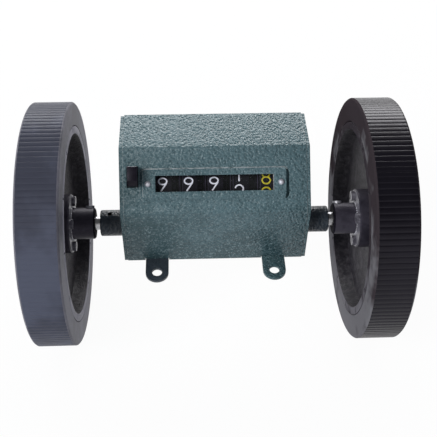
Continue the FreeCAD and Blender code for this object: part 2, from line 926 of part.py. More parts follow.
def make_drum(i):
    """A drum: rim, web, hub, heart cam, and the gear and disc that carry to the next drum."""
    centre = drum_centres[i]
    left = centre - rim_left
    right = centre + rim_right
    solid = disc(drum_hub_radius, centre - hub_left, centre + hub_right, drum)
    pieces = [
        ring(drum_radius, drum_radius - drum_wall, left, right, drum),
        disc(drum_radius - drum_wall / 2, right - drum_web, right, drum),
        make_heart(i, centre - finger_shift),
    ]
    if i > 0:
        disc_x = centre - finger_shift - heart_width / 2 - carry_disc_width
        carry_disc = disc(carry_disc_radius, disc_x, disc_x + carry_disc_width, drum)
        notch_at = polar(drum, carry_disc_radius, math.radians(pinion_angle))
        pieces.append(carry_disc.cut(disc(carry_notch_radius, disc_x, disc_x + carry_disc_width, notch_at)))
    if i < len(drum_centres) - 1:
        phase = math.radians(pinion_angle) + math.pi / driven_teeth
        pieces.append(
            gear(
                driven_teeth, carry_module, carry_tooth_height, carry_gap,
                right, right + driven_width, drum, phase,
            )
        )
    solid = solid.fuse(pieces)
    return solid.cut(disc(spindle_radius + running_fit, centre - hub_left, centre + hub_right, drum))


def make_heart(i, middle):
    """A heart cam whose notch faces the comb's finger when its drum shows nought."""
    notch = bearing(drum, finger_in) - 2 * math.pi * shown_digits[i] / digits_round
    corners = []
    for step in range(2 * heart_steps):
        turn = math.pi * (step / heart_steps - 1)
        radius = heart_min + (heart_max - heart_min) * abs(turn) / math.pi
        corners.append(polar(drum, radius, notch + turn))
    return prism(corners, middle - heart_width / 2, middle + heart_width / 2)


def make_pinion(i):
    """The carry pinion between drum i and the next drum to its right."""
    x0 = drum_centres[i] + rim_right + slot_gap
    x1 = drum_centres[i + 1] - finger_shift - heart_width / 2 - slot_gap / 2
    blank = gear(
        pinion_teeth, carry_module, carry_tooth_height, carry_gap, x0, x1, pinion_shaft_at,
        math.radians(pinion_angle) + math.pi,
    )
    return blank.cut(disc(pinion_shaft_radius + running_fit, x0, x1, pinion_shaft_at))


# Reset key and comb

def make_key():
    """The push key: bevelled cap, flange behind the slope, stem and foot."""
    x0 = key_x - key_width / 2
    low = key_along - key_height / 2
    top = -shell_wall - slot_gap
    cap = Part.makeBox(key_width, key_height, key_stand - top, Vector(x0, low, top))
    bevel_points = [
        Vector(x0 - cut_past, low, key_stand - key_bevel),
        Vector(x0 - cut_past, low + key_bevel, key_stand),
        Vector(x0 - cut_past, low, key_stand),
    ]
    bevel = Part.Face(Part.makePolygon(bevel_points + bevel_points[:1]))
    bevel = bevel.extrude(Vector(key_width + 2 * cut_past, 0, 0))
    flange = Part.makeBox(
        key_width + 2 * key_flange, key_height + 2 * key_flange, key_flange,
        Vector(x0 - key_flange, low - key_flange, top - key_flange),
    )
    foot_top = -foot_end_depth + foot_thickness
    stem = Part.makeCylinder(stem_radius, top - foot_top, Vector(key_x, key_along, foot_top))
    foot = Part.makeCylinder(foot_radius, foot_thickness, Vector(key_x, key_along, -foot_end_depth))
    return on_face(cap.cut(bevel).fuse([flange, stem, foot]))


def make_key_spring():
    """The key's return spring, a plain sleeve where the coil lies."""
    top = -shell_wall - slot_gap - key_flange - touch_gap
    bottom = -guide_depth + touch_gap
    outer = face_rod(spring_radius, key_x, key_along, bottom, top)
    return outer.cut(face_rod(spring_radius - spring_wire, key_x, key_along, bottom, top))


def make_comb():
    """The shaft that the key turns, with an arm at the key and a finger at each drum."""
    arm_x0 = key_x - arm_width / 2
    arm_x1 = key_x + arm_width / 2
    shaft = disc(comb_radius, arm_x0, plate_span(1)[1], comb)
    pieces = [
        link(arm_x0, arm_x1, comb, arm_bar_radius, arm_rest, arm_bar_radius),
        disc(comb_boss_radius, arm_x0, arm_x1, comb),
        disc(arm_end_radius, arm_x0, arm_x1, arm_rest),
    ]
    for centre in drum_centres:
        middle = centre - finger_shift
        x0 = middle - finger_width / 2
        x1 = middle + finger_width / 2
        pieces.append(link(x0, x1, comb, comb_boss_radius, finger_rest, finger_tip_radius))
    return shaft.fuse(pieces)


def make_comb_spring():
    """The comb's return spring round its shaft, a plain sleeve where the coil lies."""
    x0 = key_x + arm_width / 2 + end_play
    x1 = plate_span(-1)[0] - end_play
    inner = comb_radius + running_fit
    return ring(inner + spring_wire, inner, x0, x1, comb)


# Every sub-part under the name it is known by

cover_right, cover_left = both_sides(make_cover())
wheel_right, wheel_left = both_sides(make_wheel_disc())
tyre_right, tyre_left = both_sides(make_tyre())
hub_on_right, hub_on_left = both_sides(make_hub())
nodes = {
    "housing_shell": make_shell(),
    "left_end_cover": cover_left.cut(oil_hole(boss_radius)),
    "right_end_cover": cover_right,
    "cover_screws": make_cover_screws(),
    "base_plate": make_base(),
    "base_screws": make_base_screws(),
    "left_side_plate": make_side_plate(-1),
    "right_side_plate": make_side_plate(1),
    "frame_screws": make_frame_screws(),
    "tie_rods": make_tie_rods(),
    "window_lens": make_lens(),
    "window_rivets": make_rivets(),
    "left_bush": make_bush(-1).cut(oil_hole(boss_radius)),
    "right_bush": make_bush(1),
    "drum_spindle": make_shaft(spindle_radius, drum),
    "spindle_spacer": make_spindle_spacer(),
    "pinion_shaft": make_shaft(pinion_shaft_radius, pinion_shaft_at),
    "idler_stud": make_idler_stud(),
    "key_guide": make_key_guide(),
    "comb_spring": make_comb_spring(),
    "key_spring": make_key_spring(),
    "drive_axle": disc(axle_radius, -axle_half, axle_half, axle),
    "axle_collars": both_sides(make_collar()),
    "collar_screws": make_collar_screws(),
    "drive_gear": make_drive_gear(),
    "left_hub": hub_on_left,
    "right_hub": hub_on_right,
    "hub_set_screws": make_set_screws(),
    "flange_screws": make_flange_screws(),
    "left_wheel_disc": wheel_left,
    "right_wheel_disc": wheel_right,
    "left_tyre": tyre_left,
    "right_tyre": tyre_right,
    "idler_gear": make_idler_gear(),
    "tenths_gear": make_tenths_gear(),
    "reset_key": make_key(),
    "reset_comb": make_comb(),
}
for i, name in enumerate(drum_names):
    nodes["drum_" + name] = make_drum(i)
for i, name in enumerate(drum_names[:-1]):
    nodes["carry_pinion_" + name] = make_pinion(i)

os.makedirs("parts", exist_ok=True)
for name, shape in nodes.items():
    pieces = shape if isinstance(shape, (list, tuple)) else [shape]
    solids = [solid for piece in pieces for solid in piece.Solids]
    whole = solids[0] if len(solids) == 1 else Part.makeCompound(solids)
    state = "valid" if whole.isValid() and whole.Volume > 0 else "NOT VALID"
    print(name, len(solids), "solids", round(whole.Volume, 2), state)
    whole.exportStep("parts/" + name + ".step")
print("axle", axle, "drum", drum, "idler", idler, "pinions", pinion_shaft_at, "comb", comb)
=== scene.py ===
# Looks of the cable length counter: hammered housing, ribbed rubber tyres, number drums and hardware.
import json
import math

import bmesh
import bpy
from mathutils import Matrix, Vector


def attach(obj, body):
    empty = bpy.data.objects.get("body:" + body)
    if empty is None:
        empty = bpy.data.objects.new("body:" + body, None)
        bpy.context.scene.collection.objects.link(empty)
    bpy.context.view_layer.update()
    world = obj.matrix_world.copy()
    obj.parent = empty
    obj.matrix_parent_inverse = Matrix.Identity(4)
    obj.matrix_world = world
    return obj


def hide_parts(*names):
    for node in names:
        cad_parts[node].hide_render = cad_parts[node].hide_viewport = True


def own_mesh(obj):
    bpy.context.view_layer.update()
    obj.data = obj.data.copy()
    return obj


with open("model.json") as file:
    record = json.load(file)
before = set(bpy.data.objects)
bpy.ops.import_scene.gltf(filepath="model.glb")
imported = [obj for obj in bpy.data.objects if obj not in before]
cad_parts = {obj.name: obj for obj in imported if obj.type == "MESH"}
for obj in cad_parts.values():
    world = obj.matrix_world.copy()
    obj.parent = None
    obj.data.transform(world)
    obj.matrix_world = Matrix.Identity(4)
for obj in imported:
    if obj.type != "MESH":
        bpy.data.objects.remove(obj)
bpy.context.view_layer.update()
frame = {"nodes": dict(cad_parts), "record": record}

# Sizes of the object are in millimetres unless they carry the factor MM, which makes them metres.
MM = 0.001
ROOT_HALF = math.sqrt(0.5)
UP_SLOPE = Vector((0, 1, 1)) * ROOT_HALF
OUT_OF_SLOPE = Vector((0, -1, 1)) * ROOT_HALF
AXLE = Vector((0, -9.5, 12.5)) * MM
DRUM_AXIS = Vector((0, -2.0, 28.0)) * MM

# Meshes; the angles are in degrees
WELD = 0.002 * MM
SHARP_CORNER = 35
CREASE = 30
FLAT_WITHIN = 0.4

# Tyres with ribs across the tread: corners of the section as (x, radius, share of the rib's depth)
RIB_COUNT = 140
RIB_DEPTH = 0.15
RIB_CREASE = 9
TYRE_WELD = 0.004 * MM
SIDE_FACING = 0.3
TYRE_SECTION = (
    (60.9, 42.72, 0.0), (60.0, 43.1, 0.0), (60.0, 48.6, 0.0), (60.0, 52.15, 0.0), (60.25, 52.62, 0.3),
    (60.75, 53.03, 1.0), (68.5, 53.03, 1.0), (76.25, 53.03, 1.0), (76.75, 52.62, 0.3), (77.0, 52.15, 0.0),
    (77.0, 48.6, 0.0), (77.0, 43.1, 0.0), (76.1, 42.72, 0.0), (68.5, 42.72, 0.0), (60.9, 42.72, 0.0),
)
# One rib as (share of a turn between ribs, share of the depth that it is sunk)
RIB_SECTION = (
    (-0.5, 1.0), (-0.42, 0.9), (-0.32, 0.25), (-0.2, 0.0),
    (0.2, 0.0), (0.32, 0.25), (0.42, 0.9), (0.5, 1.0),
)

# Cast wheels and turned hubs
WHEEL_EDGE = 0.16
RIM_INSIDE = 39.3
FACE_SLACK = 0.05 * MM
HUB_EDGE = 0.2
FLANGE_FACE_X = 62.4
FLANGE_SLACK = 0.25
END_FACING = 0.5
BARREL_RADIUS = 6.9
BARREL_SLACK = 0.1
BEAD_COUNT = 44
BEAD_RADIUS = 0.34
BEAD_SUNK = 0.12
BEAD_OUT = 0.32

# Housing, with the pad round the window
SHELL_EDGE = 0.24
SLOPE_FOOT = Vector((0, -21.0, 29.506)) * MM
SHELL_END_X = 38.5 * MM
END_SLACK = 0.3 * MM
SHELL_TOP_Z = 49.006 * MM
SHELL_BACK_Y = 21.0 * MM
BACK_SLACK = 0.2 * MM
PAD_TOP = 18.85
PAD_TOP_BAND = 1.0
PAD_UPPER_PART = 3.0
PAD_LEFT = -31.5 * MM
PAD_RIGHT = 30.9 * MM
PAD_SIDE_WIDTH = 1.6 * MM
PAD_PLATEAU = (0.7, 1.05)
PAD_SIDE_FLOOR = -0.05
PAD_SIDE_RISE = 0.02
PAD_SIDE_FACING = (0.8, 0.995)
PAD_STEEPER = 0.85
WINDOW_SIDE_FACING = -0.9
WINDOW_DEPTH = 2.2
WINDOW_RIGHT_PART = 20 * MM
COVER_EDGE = 0.25
COVER_OUTER_X = 40.0 * MM
BOSS_SLACK = 0.4 * MM
BASE_EDGE = 0.2
EAR_START_Y = SLOPE_FOOT.y - 0.1 * MM

# Reset key and its spring
KEY_MIDDLE = Vector((-34.5, -10.06, 40.44)) * MM
KEY_EDGE = 0.3
KEY_CAP_START = 0.3
KEY_SHIFT = 0.4 * MM
KEY_NARROWER = 0.92
KEY_SHORTER = 0.06
KEY_BEVEL_FACING = (0.2, 0.98)
KEY_BEVEL_HEIGHT = 0.35
COIL_START = 3.3
COIL_LENGTH = 7.6
COIL_TURNS = 4
COIL_STEPS = 24
COIL_SIDES = 8
COIL_RADIUS = 2.2
COIL_WIRE = 0.6
COIL_CREASE = 60

# Number drums
DRUM_RADIUS = 11.0
DRUM_NAMES = ("thousands", "hundreds", "tens", "units", "tenths")
# Middle of each drum's figures along X, and the figure in the middle of its window
DIGIT_PLACES = (-22.06, -11.17, -0.43, 10.17, 21.64)
SHOWN = (8.98, 8.98, 8.98, 1.48, 8.3)
DIGIT_ANGLE = math.radians(36)
STROKE = 0.64
STROKE_STEP = 0.22
CLOSED_WITHIN = 0.01
INK_THICKNESS = 0.05
SLOPE_ANGLE = math.radians(135)
BAND_SHIFTS = (-3.8, -2.7)
BAND_SECTION = ((0.0, -0.06), (0.08, 0.05), (0.26, 0.05), (0.34, -0.06), (0.0, -0.06))
BAND_STEPS = 72

# Floor, light and camera; places and sizes are in metres, the camera's turns in degrees
FLOOR_Z = -40.6 * MM
FLOOR_REACH = 6.0
FLOOR_COLOUR = (0.85, 0.85, 0.86, 1)
FLOOR_GLOW = 0.95
ROOM_COLOUR = (0.86, 0.9, 1.0, 1)
ROOM_STRENGTH = 0.3
CEILING_START = 0.34
CEILING_FULL = 0.72
CEILING_STRENGTH = 0.12
# Each lamp: name, place, point it faces, size, power and colour
LAMPS = (
    ("left_window", (-0.92, -0.92, 1.22), (0, 0, 0.01), (0.65, 0.65), 18.0, (1, 1, 1)),
    ("low_window", (-1.0, -0.9, 0.2), (0, 0, 0.0), (0.9, 0.5), 3.0, (0.74, 0.85, 1.0)),
    ("back_panel", (0.0, 1.1, 0.48), (0, 0, 0.02), (1.5, 0.46), 17.5, (1, 1, 1)),
)
CAMERA_PLACE = Vector((-11.14, -247.80, 262.60)) * MM
CAMERA_TURNS = (3.09, 46.18, 1.08)
CAMERA_FOCUS_PIXELS = 779.46
PICTURE_PIXELS = 437
SENSOR_WIDTH = 36.0


# Shader groups that several finishes share

def put(tree, kind, sockets=None, **settings):
    """A shader node with its settings and the values of its input sockets."""
    node = tree.nodes.new("ShaderNode" + kind)
    for key, value in settings.items():
        setattr(node, key, value)
    for key, value in (sockets or {}).items():
        node.inputs[key].default_value = value
    return node


def new_group(name, inputs, outputs):
    """An empty shader group with number sockets, and the Object coordinates inside it."""
    tree = bpy.data.node_groups.new(name, "ShaderNodeTree")
    number = "NodeSocketFloat"
    for label, value in inputs:
        socket = tree.interface.new_socket(label, in_out="INPUT", socket_type=number)
        socket.default_value = value
    for label in outputs:
        tree.interface.new_socket(label, in_out="OUTPUT", socket_type=number)
    start = tree.nodes.new("NodeGroupInput")
    end = tree.nodes.new("NodeGroupOutput")
    place = put(tree, "TexCoord").outputs["Object"]
    return tree, start, end, place


def wire(tree, *pairs):
    for source, target in pairs:
        tree.links.new(source, target)


def times(tree, source, factor):
    node = put(tree, "Math", operation="MULTIPLY")
    wire(tree, (source, node.inputs[0]))
    if isinstance(factor, float):
        node.inputs[1].default_value = factor
    else:
        wire(tree, (factor, node.inputs[1]))
    return node.outputs[0]


def plus(tree, first, second):
    node = put(tree, "Math", operation="ADD")
    wire(tree, (first, node.inputs[0]), (second, node.inputs[1]))
    return node.outputs[0]


def remap(tree, source, low, high, to_low=0.0, to_high=1.0):
    node = put(tree, "MapRange", clamp=True, sockets={
        "From Min": low, "From Max": high, "To Min": to_low, "To Max": to_high,
    })
    wire(tree, (source, node.inputs["Value"]))
    return node.outputs["Result"]


def noise(tree, place, scale, detail=2.0, rough=0.5):
    node = put(tree, "TexNoise", sockets={"Detail": detail, "Roughness": rough})
    wire(tree, (place, node.inputs["Vector"]))
    if isinstance(scale, float):
        node.inputs["Scale"].default_value = scale
    else:
        wire(tree, (scale, node.inputs["Scale"]))
    return node.outputs["Fac"]


def grain_group():
    """Fine even grain, from 0 to 1."""
    tree, start, end, place = new_group("grain", [("Scale", 1500.0)], ["Height"])
    fine = noise(tree, place, start.outputs["Scale"], 3.0, 0.6)
    wire(tree, (remap(tree, fine, 0.3, 0.7), end.inputs["Height"]))
    return tree


def patches_group():
    """Large soft patches, as wear or dust leaves them. Lean makes them grow or thin out with height, which
    paints light or shade by height.
    """
    settings = [("Scale", 60.0), ("Sharpness", 0.2), ("Seed", 0.0), ("Lean", 0.0), ("Level", 0.0)]
    tree, start, end, place = new_group("patches", settings, ["Mask"])
    cloud = put(tree, "TexNoise", noise_dimensions="4D", sockets={"Detail": 4.0, "Roughness": 0.62})
    split = put(tree, "SeparateXYZ")
    wire(
        tree, (place, cloud.inputs["Vector"]), (start.outputs["Scale"], cloud.inputs["Scale"]),
        (start.outputs["Seed"], cloud.inputs["W"]), (place, split.inputs[0]),
    )
    leaning = plus(tree, times(tree, split.outputs["Z"], start.outputs["Lean"]), start.outputs["Level"])
    broad = plus(tree, cloud.outputs["Fac"], leaning)
    node = put(tree, "MapRange", clamp=True, interpolation_type="SMOOTHSTEP")
    low = put(tree, "Math", operation="MULTIPLY_ADD", sockets={1: 0.3, 2: 0.3})
    high = put(tree, "Math", operation="MULTIPLY_ADD", sockets={1: -0.3, 2: 0.7})
    wire(
        tree, (start.outputs["Sharpness"], low.inputs[0]), (start.outputs["Sharpness"], high.inputs[0]),
        (low.outputs[0], node.inputs["From Min"]), (high.outputs[0], node.inputs["From Max"]),
        (broad, node.inputs["Value"]), (node.outputs["Result"], end.inputs["Mask"]),
    )
    return tree


def hammered_group():
    """Hammer finish enamel: close dimples with raised rims, and small bright flecks."""
    tree, start, end, place = new_group("hammered", [("Scale", 800.0)], ["Height", "Fleck"])
    warp = put(tree, "TexNoise", sockets={"Scale": 420.0, "Detail": 2.0})
    shift = put(tree, "VectorMath", operation="MULTIPLY_ADD", sockets={1: (0.0013,) * 3})
    cells = put(
        tree, "TexVoronoi", feature="SMOOTH_F1", sockets={"Smoothness": 0.45, "Randomness": 1.0}
    )
    wire(
        tree, (place, warp.inputs["Vector"]), (warp.outputs["Color"], shift.inputs[0]),
        (place, shift.inputs[2]), (shift.outputs["Vector"], cells.inputs["Vector"]),
        (start.outputs["Scale"], cells.inputs["Scale"]),
    )
    rims = remap(tree, cells.outputs["Distance"], 0.05, 0.65)
    pebbles = noise(tree, place, 2100.0, 2.0)
    height = plus(tree, rims, times(tree, pebbles, 0.55))
    fleck = remap(tree, noise(tree, place, 1500.0, 3.0, 0.65), 0.52, 0.66)
    wire(tree, (height, end.inputs["Height"]), (fleck, end.inputs["Fleck"]))
    return tree


def cast_group():
    """Sand cast skin: lumps, pits and grit."""
    tree, start, end, place = new_group("cast", [("Scale", 420.0)], ["Height", "Fleck"])
    lumps = noise(tree, place, start.outputs["Scale"], 5.0, 0.68)
    grit = noise(tree, place, 1900.0, 3.0, 0.7)
    pits = put(tree, "TexVoronoi", feature="F1", sockets={"Scale": 620.0, "Randomness": 1.0})
    wire(tree, (place, pits.inputs["Vector"]))
    holes = remap(tree, pits.outputs["Distance"], 0.0, 0.32, 0.0, 1.0)
    height = plus(tree, plus(tree, lumps, times(tree, grit, 0.45)), times(tree, holes, 0.3))
    wire(tree, (height, end.inputs["Height"]), (remap(tree, lumps, 0.45, 0.68), end.inputs["Fleck"]))
    return tree


def turned_group():
    """Fine marks that a lathe leaves round an axis parallel to X, on its faces and its rounds."""
    tree, start, end, place = new_group(
        "turned", [("Scale", 900.0), ("Axis Y", 0.0), ("Axis Z", 0.0)], ["Height"]
    )
    middle = put(tree, "CombineXYZ")
    from_axis = put(tree, "VectorMath", operation="SUBTRACT")
    split = put(tree, "SeparateXYZ")
    square = put(tree, "CombineXYZ")
    length = put(tree, "VectorMath", operation="LENGTH")
    wire(
        tree, (start.outputs["Axis Y"], middle.inputs["Y"]), (start.outputs["Axis Z"], middle.inputs["Z"]),
        (place, from_axis.inputs[0]), (middle.outputs[0], from_axis.inputs[1]),
        (from_axis.outputs["Vector"], split.inputs[0]), (split.outputs["Y"], square.inputs["Y"]),
        (split.outputs["Z"], square.inputs["Z"]), (square.outputs[0], length.inputs[0]),
    )
    along = plus(tree, length.outputs["Value"], split.outputs["X"])
    line = put(tree, "CombineXYZ")
    wire(tree, (along, line.inputs["X"]))
    marks = noise(tree, line.outputs[0], start.outputs["Scale"], 3.0, 0.7)
    wire(tree, (remap(tree, marks, 0.25, 0.75), end.inputs["Height"]))
    return tree


GROUPS = {
    "grain": grain_group(), "patches": patches_group(), "hammered": hammered_group(),
    "cast": cast_group(), "turned": turned_group(),
}


def use_group(tree, name, **sockets):
    node = tree.nodes.new("ShaderNodeGroup")
    node.node_tree = GROUPS[name]
    for key, value in sockets.items():
        node.inputs[key.replace("_", " ")].default_value = value
    return node


def mix_colour(tree, mask, dark, light):
    """Two colours, or a colour socket and a colour, mixed by a mask."""
    node = put(tree, "Mix", data_type="RGBA")
    wire(tree, (mask, node.inputs["Factor"]))
    for socket, colour in ((node.inputs[6], dark), (node.inputs[7], light)):
        if isinstance(colour, tuple):
            socket.default_value = (*colour, 1.0)
        else:
            wire(tree, (colour, socket))
    return node.outputs[2]


def finish(
    name, dark, light, rough, relief, depth, patch_scale=60.0, patch_edge=0.2, seed=0.0, lean=0.0,
    level=0.0, metallic=0.0, specular=0.5, tint=(1.0, 1.0, 1.0), fleck=None, valley=None, **relief_sockets
):
    """A material: two tones in soft patches, a roughness that varies with patches and grain, and a relief.

    The valley colour lies in the low parts of the relief and the fleck colour on its flecks.
    """
    material = bpy.data.materials.new(name)
    material.use_nodes = True
    material.diffuse_color = (*light, 1.0)
    tree = material.node_tree
    shader = tree.nodes["Principled BSDF"]
    shader.inputs["Metallic"].default_value = metallic
    shader.inputs["Specular IOR Level"].default_value = specular
    shader.inputs["Specular Tint"].default_value = (*tint, 1.0)
    surface = use_group(tree, relief, **relief_sockets)
    # A lean tilts the patches with height, which paints light or shade by height.
    patches = use_group(
        tree, "patches", Scale=patch_scale, Sharpness=patch_edge, Seed=seed, Lean=lean, Level=level
    )
    colour = mix_colour(tree, patches.outputs["Mask"], dark, light)
    if valley:
        colour = mix_colour(tree, remap(tree, surface.outputs["Height"], 0.2, 0.9), valley, colour)
    if fleck:
        colour = mix_colour(tree, surface.outputs["Fleck"], colour, fleck)
    grain = use_group(tree, "grain", Scale=1300.0)
    blur = plus(tree, times(tree, patches.outputs["Mask"], 0.5), times(tree, grain.outputs["Height"], 0.5))
    bump = put(tree, "Bump", sockets={"Strength": 1.0, "Distance": depth * MM})
    wire(
        tree, (colour, shader.inputs["Base Color"]),
        (remap(tree, blur, 0.0, 1.0, rough[0], rough[1]), shader.inputs["Roughness"]),
        (surface.outputs["Height"], bump.inputs["Height"]),
        (bump.outputs["Normal"], shader.inputs["Normal"]),
    )
    return material


def lens_finish():
    """Clear sheet with a faint haze."""
    material = finish(
        "clear_sheet", (0.75, 0.8, 0.8), (0.85, 0.88, 0.88), (0.03, 0.08), "grain", 0.0005, specular=0.2,
        Scale=300.0,
    )
    tree = material.node_tree
    haze = use_group(tree, "patches", Scale=90.0, Sharpness=0.0)
    alpha = tree.nodes["Principled BSDF"].inputs["Alpha"]
    wire(tree, (remap(tree, haze.outputs["Mask"], 0.0, 1.0, 0.004, 0.012), alpha))
    return material


AXLE_MARKS = {"Axis_Y": AXLE.y, "Axis_Z": AXLE.z}
DRUM_MARKS = {"Axis_Y": DRUM_AXIS.y, "Axis_Z": DRUM_AXIS.z}
FINISHES = {
    # Hammered enamel, lighter towards the top and darker low down as painted light and shade.
    "green_paint": finish(
        "hammered_enamel_with_painted_light", (0.047, 0.088, 0.098), (0.086, 0.146, 0.162), (0.22, 0.32), "hammered", 0.28,
        patch_scale=38.0, lean=8.0, level=-0.19, specular=0.2, fleck=(0.185, 0.255, 0.270),
        valley=(0.036, 0.070, 0.078), Scale=800.0,
    ),
    # Light enamel as painted highlight on the housing's end and back edges and on the pad's top and left
    # side.
    "edge_painted_highlight": finish(
        "enamel_edge_painted_highlight", (0.14, 0.18, 0.185), (0.46, 0.50, 0.51), (0.28, 0.42), "grain", 0.02,
        patch_scale=420.0, patch_edge=0.5, level=0.05, metallic=0.1, Scale=1400.0,
    ),
    # Dark enamel as painted shadow along the pad's right side.
    "pad_painted_shadow": finish(
        "enamel_painted_shadow", (0.014, 0.028, 0.032), (0.036, 0.062, 0.069), (0.35, 0.5), "hammered", 0.1,
        patch_scale=200.0, specular=0.1, fleck=(0.03, 0.05, 0.055), Scale=800.0,
    ),
    # Light grey as painted highlight on the window's right wall, which faces the lamp on the left.
    "window_wall_highlight": finish(
        "window_wall_painted_highlight", (0.36, 0.36, 0.40), (0.52, 0.52, 0.56), (0.35, 0.5), "grain", 0.01,
        patch_scale=300.0, metallic=0.1, Scale=1800.0,
    ),
    # Darker enamel on the bearing bosses, also used as painted shadow on the base plate's left front ear.
    "dark_enamel_and_painted_shadow": finish(
        "dark_boss_enamel_and_painted_shadow", (0.0330, 0.0430, 0.0560), (0.0490, 0.0620, 0.0780), (0.26, 0.38), "hammered", 0.14,
        patch_scale=90.0, specular=0.4, fleck=(0.045, 0.054, 0.060), Scale=950.0,
    ),
    "black_steel": finish(
        "blackened_steel", (0.022, 0.0198, 0.0275), (0.041, 0.0372, 0.049), (0.32, 0.46), "turned", 0.012,
        patch_scale=140.0, specular=0.14, tint=(0.88, 0.84, 1.0), **AXLE_MARKS, Scale=2600.0,
    ),
    "flange_face": finish(
        "turned_flange_face", (0.050, 0.047, 0.058), (0.125, 0.118, 0.140), (0.26, 0.4), "cast", 0.1,
        patch_scale=260.0, specular=0.4, fleck=(0.19, 0.18, 0.21), Scale=700.0,
    ),
    # Darker than the blackened steel, as painted shade on the barrel's end face.
    "end_painted_shade": finish(
        "barrel_end_painted_shade", (0.005, 0.0045, 0.0075), (0.010, 0.009, 0.014), (0.6, 0.8), "turned", 0.01,
        patch_scale=140.0, specular=0.02, **AXLE_MARKS, Scale=2600.0,
    ),
    "cast_black": finish(
        "painted_casting", (0.008, 0.007, 0.011), (0.016, 0.014, 0.019), (0.40, 0.62), "cast", 0.38,
        patch_scale=75.0, specular=0.22, fleck=(0.045, 0.041, 0.048), Scale=360.0,
    ),
    # Rim faces and tyre sides: the left ones light lilac grey as painted light, the right ones darker
    # towards the top and lighter low down as painted shade and light.
    "left_rim": finish(
        "left_rim_face_painted_light", (0.185, 0.179, 0.214), (0.275, 0.266, 0.311), (0.45, 0.6), "turned", 0.05,
        patch_scale=110.0, specular=0.12, **AXLE_MARKS, Scale=2300.0,
    ),
    "right_rim": finish(
        "right_rim_face_painted_shade", (0.040, 0.034, 0.039), (0.150, 0.143, 0.155), (0.36, 0.5), "turned", 0.07,
        patch_scale=42.0, patch_edge=0.4, seed=2.0, lean=-3.2, level=0.06, specular=0.0,
        **AXLE_MARKS, Scale=2300.0,
    ),
    "left_side": finish(
        "left_tyre_side", (0.105, 0.103, 0.121), (0.195, 0.190, 0.220), (0.45, 0.6), "turned", 0.05,
        patch_scale=34.0, patch_edge=0.3, specular=0.12, **AXLE_MARKS, Scale=2100.0,
    ),
    "right_side": finish(
        "right_tyre_side", (0.040, 0.032, 0.036), (0.165, 0.160, 0.169), (0.34, 0.5), "turned", 0.08,
        patch_scale=34.0, patch_edge=0.4, seed=2.0, lean=-3.2, level=0.06, specular=0.0,
        **AXLE_MARKS, Scale=2100.0,
    ),
    # Treads: the left one lighter and bluer as painted light, the right one darker as painted shade; both
    # stand for one black rubber.
    "left_rubber": finish(
        "left_tread_rubber", (0.055, 0.058, 0.078), (0.084, 0.091, 0.124), (0.30, 0.40), "grain", 0.02,
        patch_scale=26.0, patch_edge=0.4, specular=0.06, tint=(0.92, 0.92, 1.0), Scale=2300.0,
    ),
    "right_rubber": finish(
        "right_tread_rubber", (0.0032, 0.0026, 0.0046), (0.006, 0.0053, 0.0085), (0.28, 0.38),
        "grain", 0.02, patch_scale=30.0, specular=0.22, tint=(0.92, 0.88, 1.0), Scale=2300.0,
    ),
    "steel": finish(
        "turned_steel", (0.42, 0.42, 0.44), (0.62, 0.62, 0.64), (0.22, 0.36), "turned", 0.008,
        patch_scale=120.0, metallic=1.0, **AXLE_MARKS, Scale=2600.0,
    ),
    "plate_steel": finish(
        "rolled_plate", (0.35, 0.36, 0.36), (0.5, 0.5, 0.5), (0.35, 0.5), "grain", 0.01,
        patch_scale=45.0, metallic=1.0, Scale=1800.0,
    ),
    "set_screw": finish(
        "worn_set_screw", (0.30, 0.295, 0.32), (0.55, 0.545, 0.58), (0.3, 0.42), "grain", 0.012,
        patch_scale=500.0, metallic=0.4, Scale=2500.0,
    ),
    "bright_rivet": finish(
        "plated_rivet", (0.42, 0.42, 0.46), (0.58, 0.58, 0.63), (0.38, 0.5), "grain", 0.01,
        patch_scale=500.0, metallic=0.45, Scale=1800.0,
    ),
    "brass": finish(
        "oiled_bronze", (0.16, 0.105, 0.05), (0.27, 0.18, 0.085), (0.34, 0.5), "turned", 0.01,
        patch_scale=140.0, metallic=1.0, **AXLE_MARKS, Scale=2400.0,
    ),
    "drum_black": finish(
        "moulded_black_drum", (0.0026, 0.002, 0.0046), (0.005, 0.004, 0.0085), (0.42, 0.55),
        "turned", 0.003, patch_scale=160.0, specular=0.08, tint=(0.9, 0.85, 1.0), **DRUM_MARKS, Scale=900.0,
    ),
    "drum_edge": finish(
        "rubbed_drum_edge", (0.018, 0.015, 0.028), (0.046, 0.038, 0.066), (0.36, 0.5), "grain", 0.004,
        patch_scale=300.0, patch_edge=0.4, specular=0.15, Scale=2000.0,
    ),
    "pinion_white": finish(
        "natural_moulding", (0.5, 0.48, 0.42), (0.62, 0.6, 0.53), (0.36, 0.5), "grain", 0.008,
        patch_scale=160.0, Scale=1600.0,
    ),
    "key_black": finish(
        "key_moulding", (0.0056, 0.0048, 0.0078), (0.0105, 0.0092, 0.0140), (0.34, 0.46), "grain", 0.012,
        patch_scale=220.0, specular=0.12, tint=(0.9, 0.85, 1.0), Scale=1900.0,
    ),
    # Light grey as painted highlight along the key's upper bevel.
    "key_bevel_highlight": finish(
        "key_bevel_painted_highlight", (0.46, 0.46, 0.50), (0.66, 0.66, 0.71), (0.34, 0.46), "grain", 0.006,
        patch_scale=260.0, specular=0.3, Scale=1900.0,
    ),
    "white_ink": finish(
        "white_ink", (0.74, 0.74, 0.83), (0.88, 0.88, 0.96), (0.45, 0.6), "grain", 0.006,
        patch_scale=600.0, Scale=2600.0,
    ),
    "yellow_ink": finish(
        "yellow_ink", (0.52, 0.44, 0.006), (0.66, 0.56, 0.012), (0.45, 0.6), "grain", 0.006,
        patch_scale=600.0, Scale=2600.0,
    ),
    "clear_lens": lens_finish(),
}


